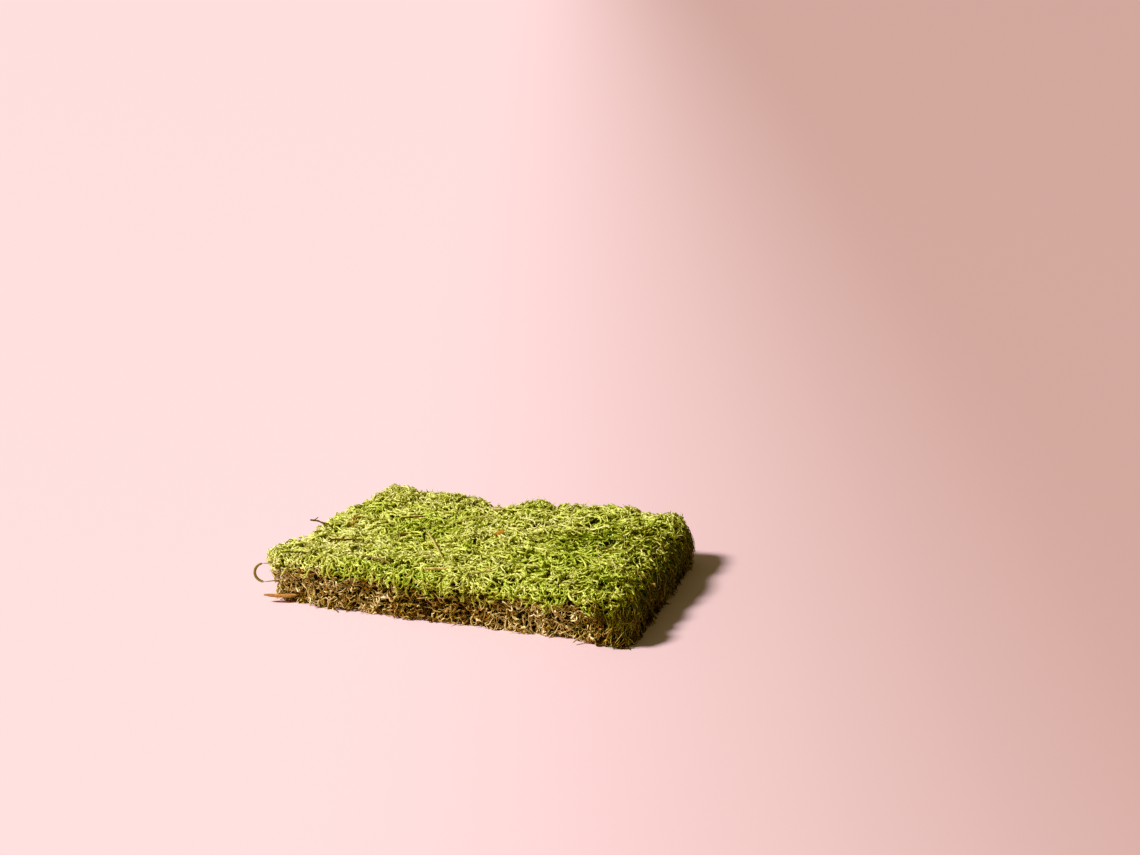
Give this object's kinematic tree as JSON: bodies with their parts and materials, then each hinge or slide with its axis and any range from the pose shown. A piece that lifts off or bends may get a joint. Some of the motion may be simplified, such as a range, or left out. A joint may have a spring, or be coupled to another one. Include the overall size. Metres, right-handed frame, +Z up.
{
  "type": "moss mat",
  "caption": "Flat rectangular mat of living feather moss, green shoots on top and brown dead stems below, cut flat underneath, with dry litter caught in it.",
  "frame": {"origin": "under the middle of the bounding box, on the surface that the flat cut rests on", "axes": "+X along the long side, +Y from the front side to the back edge with the notch, +Z up out of the green top"},
  "size_m": [0.322, 0.22, 0.0468],
  "materials": {
    "green_moss": "living moss shoots, yellow-green, soft and leafy",
    "brown_stems": "dead moss stems, straw to dark brown",
    "dry_blade": "dry grass blade, olive straw",
    "dark_twig": "dark bark",
    "red_twig": "red-brown bark",
    "tan_straw": "dry straw, satin",
    "orange_straw": "orange-brown dry leaf and wood"
  },
  "bodies": {
    "root": {"moss_mat": "green_moss", "curled_grass_blade": "dry_blade", "edge_twig": "dark_twig", "thin_dark_twig": "dark_twig", "red_brown_twig": "red_twig", "forked_twig": "dark_twig", "tan_needle": "tan_straw", "orange_straw": "orange_straw", "thin_straw": "tan_straw", "brown_twig": "red_twig", "bark_bit": "dark_twig", "orange_leaf_bit": "orange_straw", "long_pale_straw": "tan_straw", "dry_bud": "tan_straw", "wood_chip": "orange_straw", "side_straw": "tan_straw"}
  },
  "joints": []
}
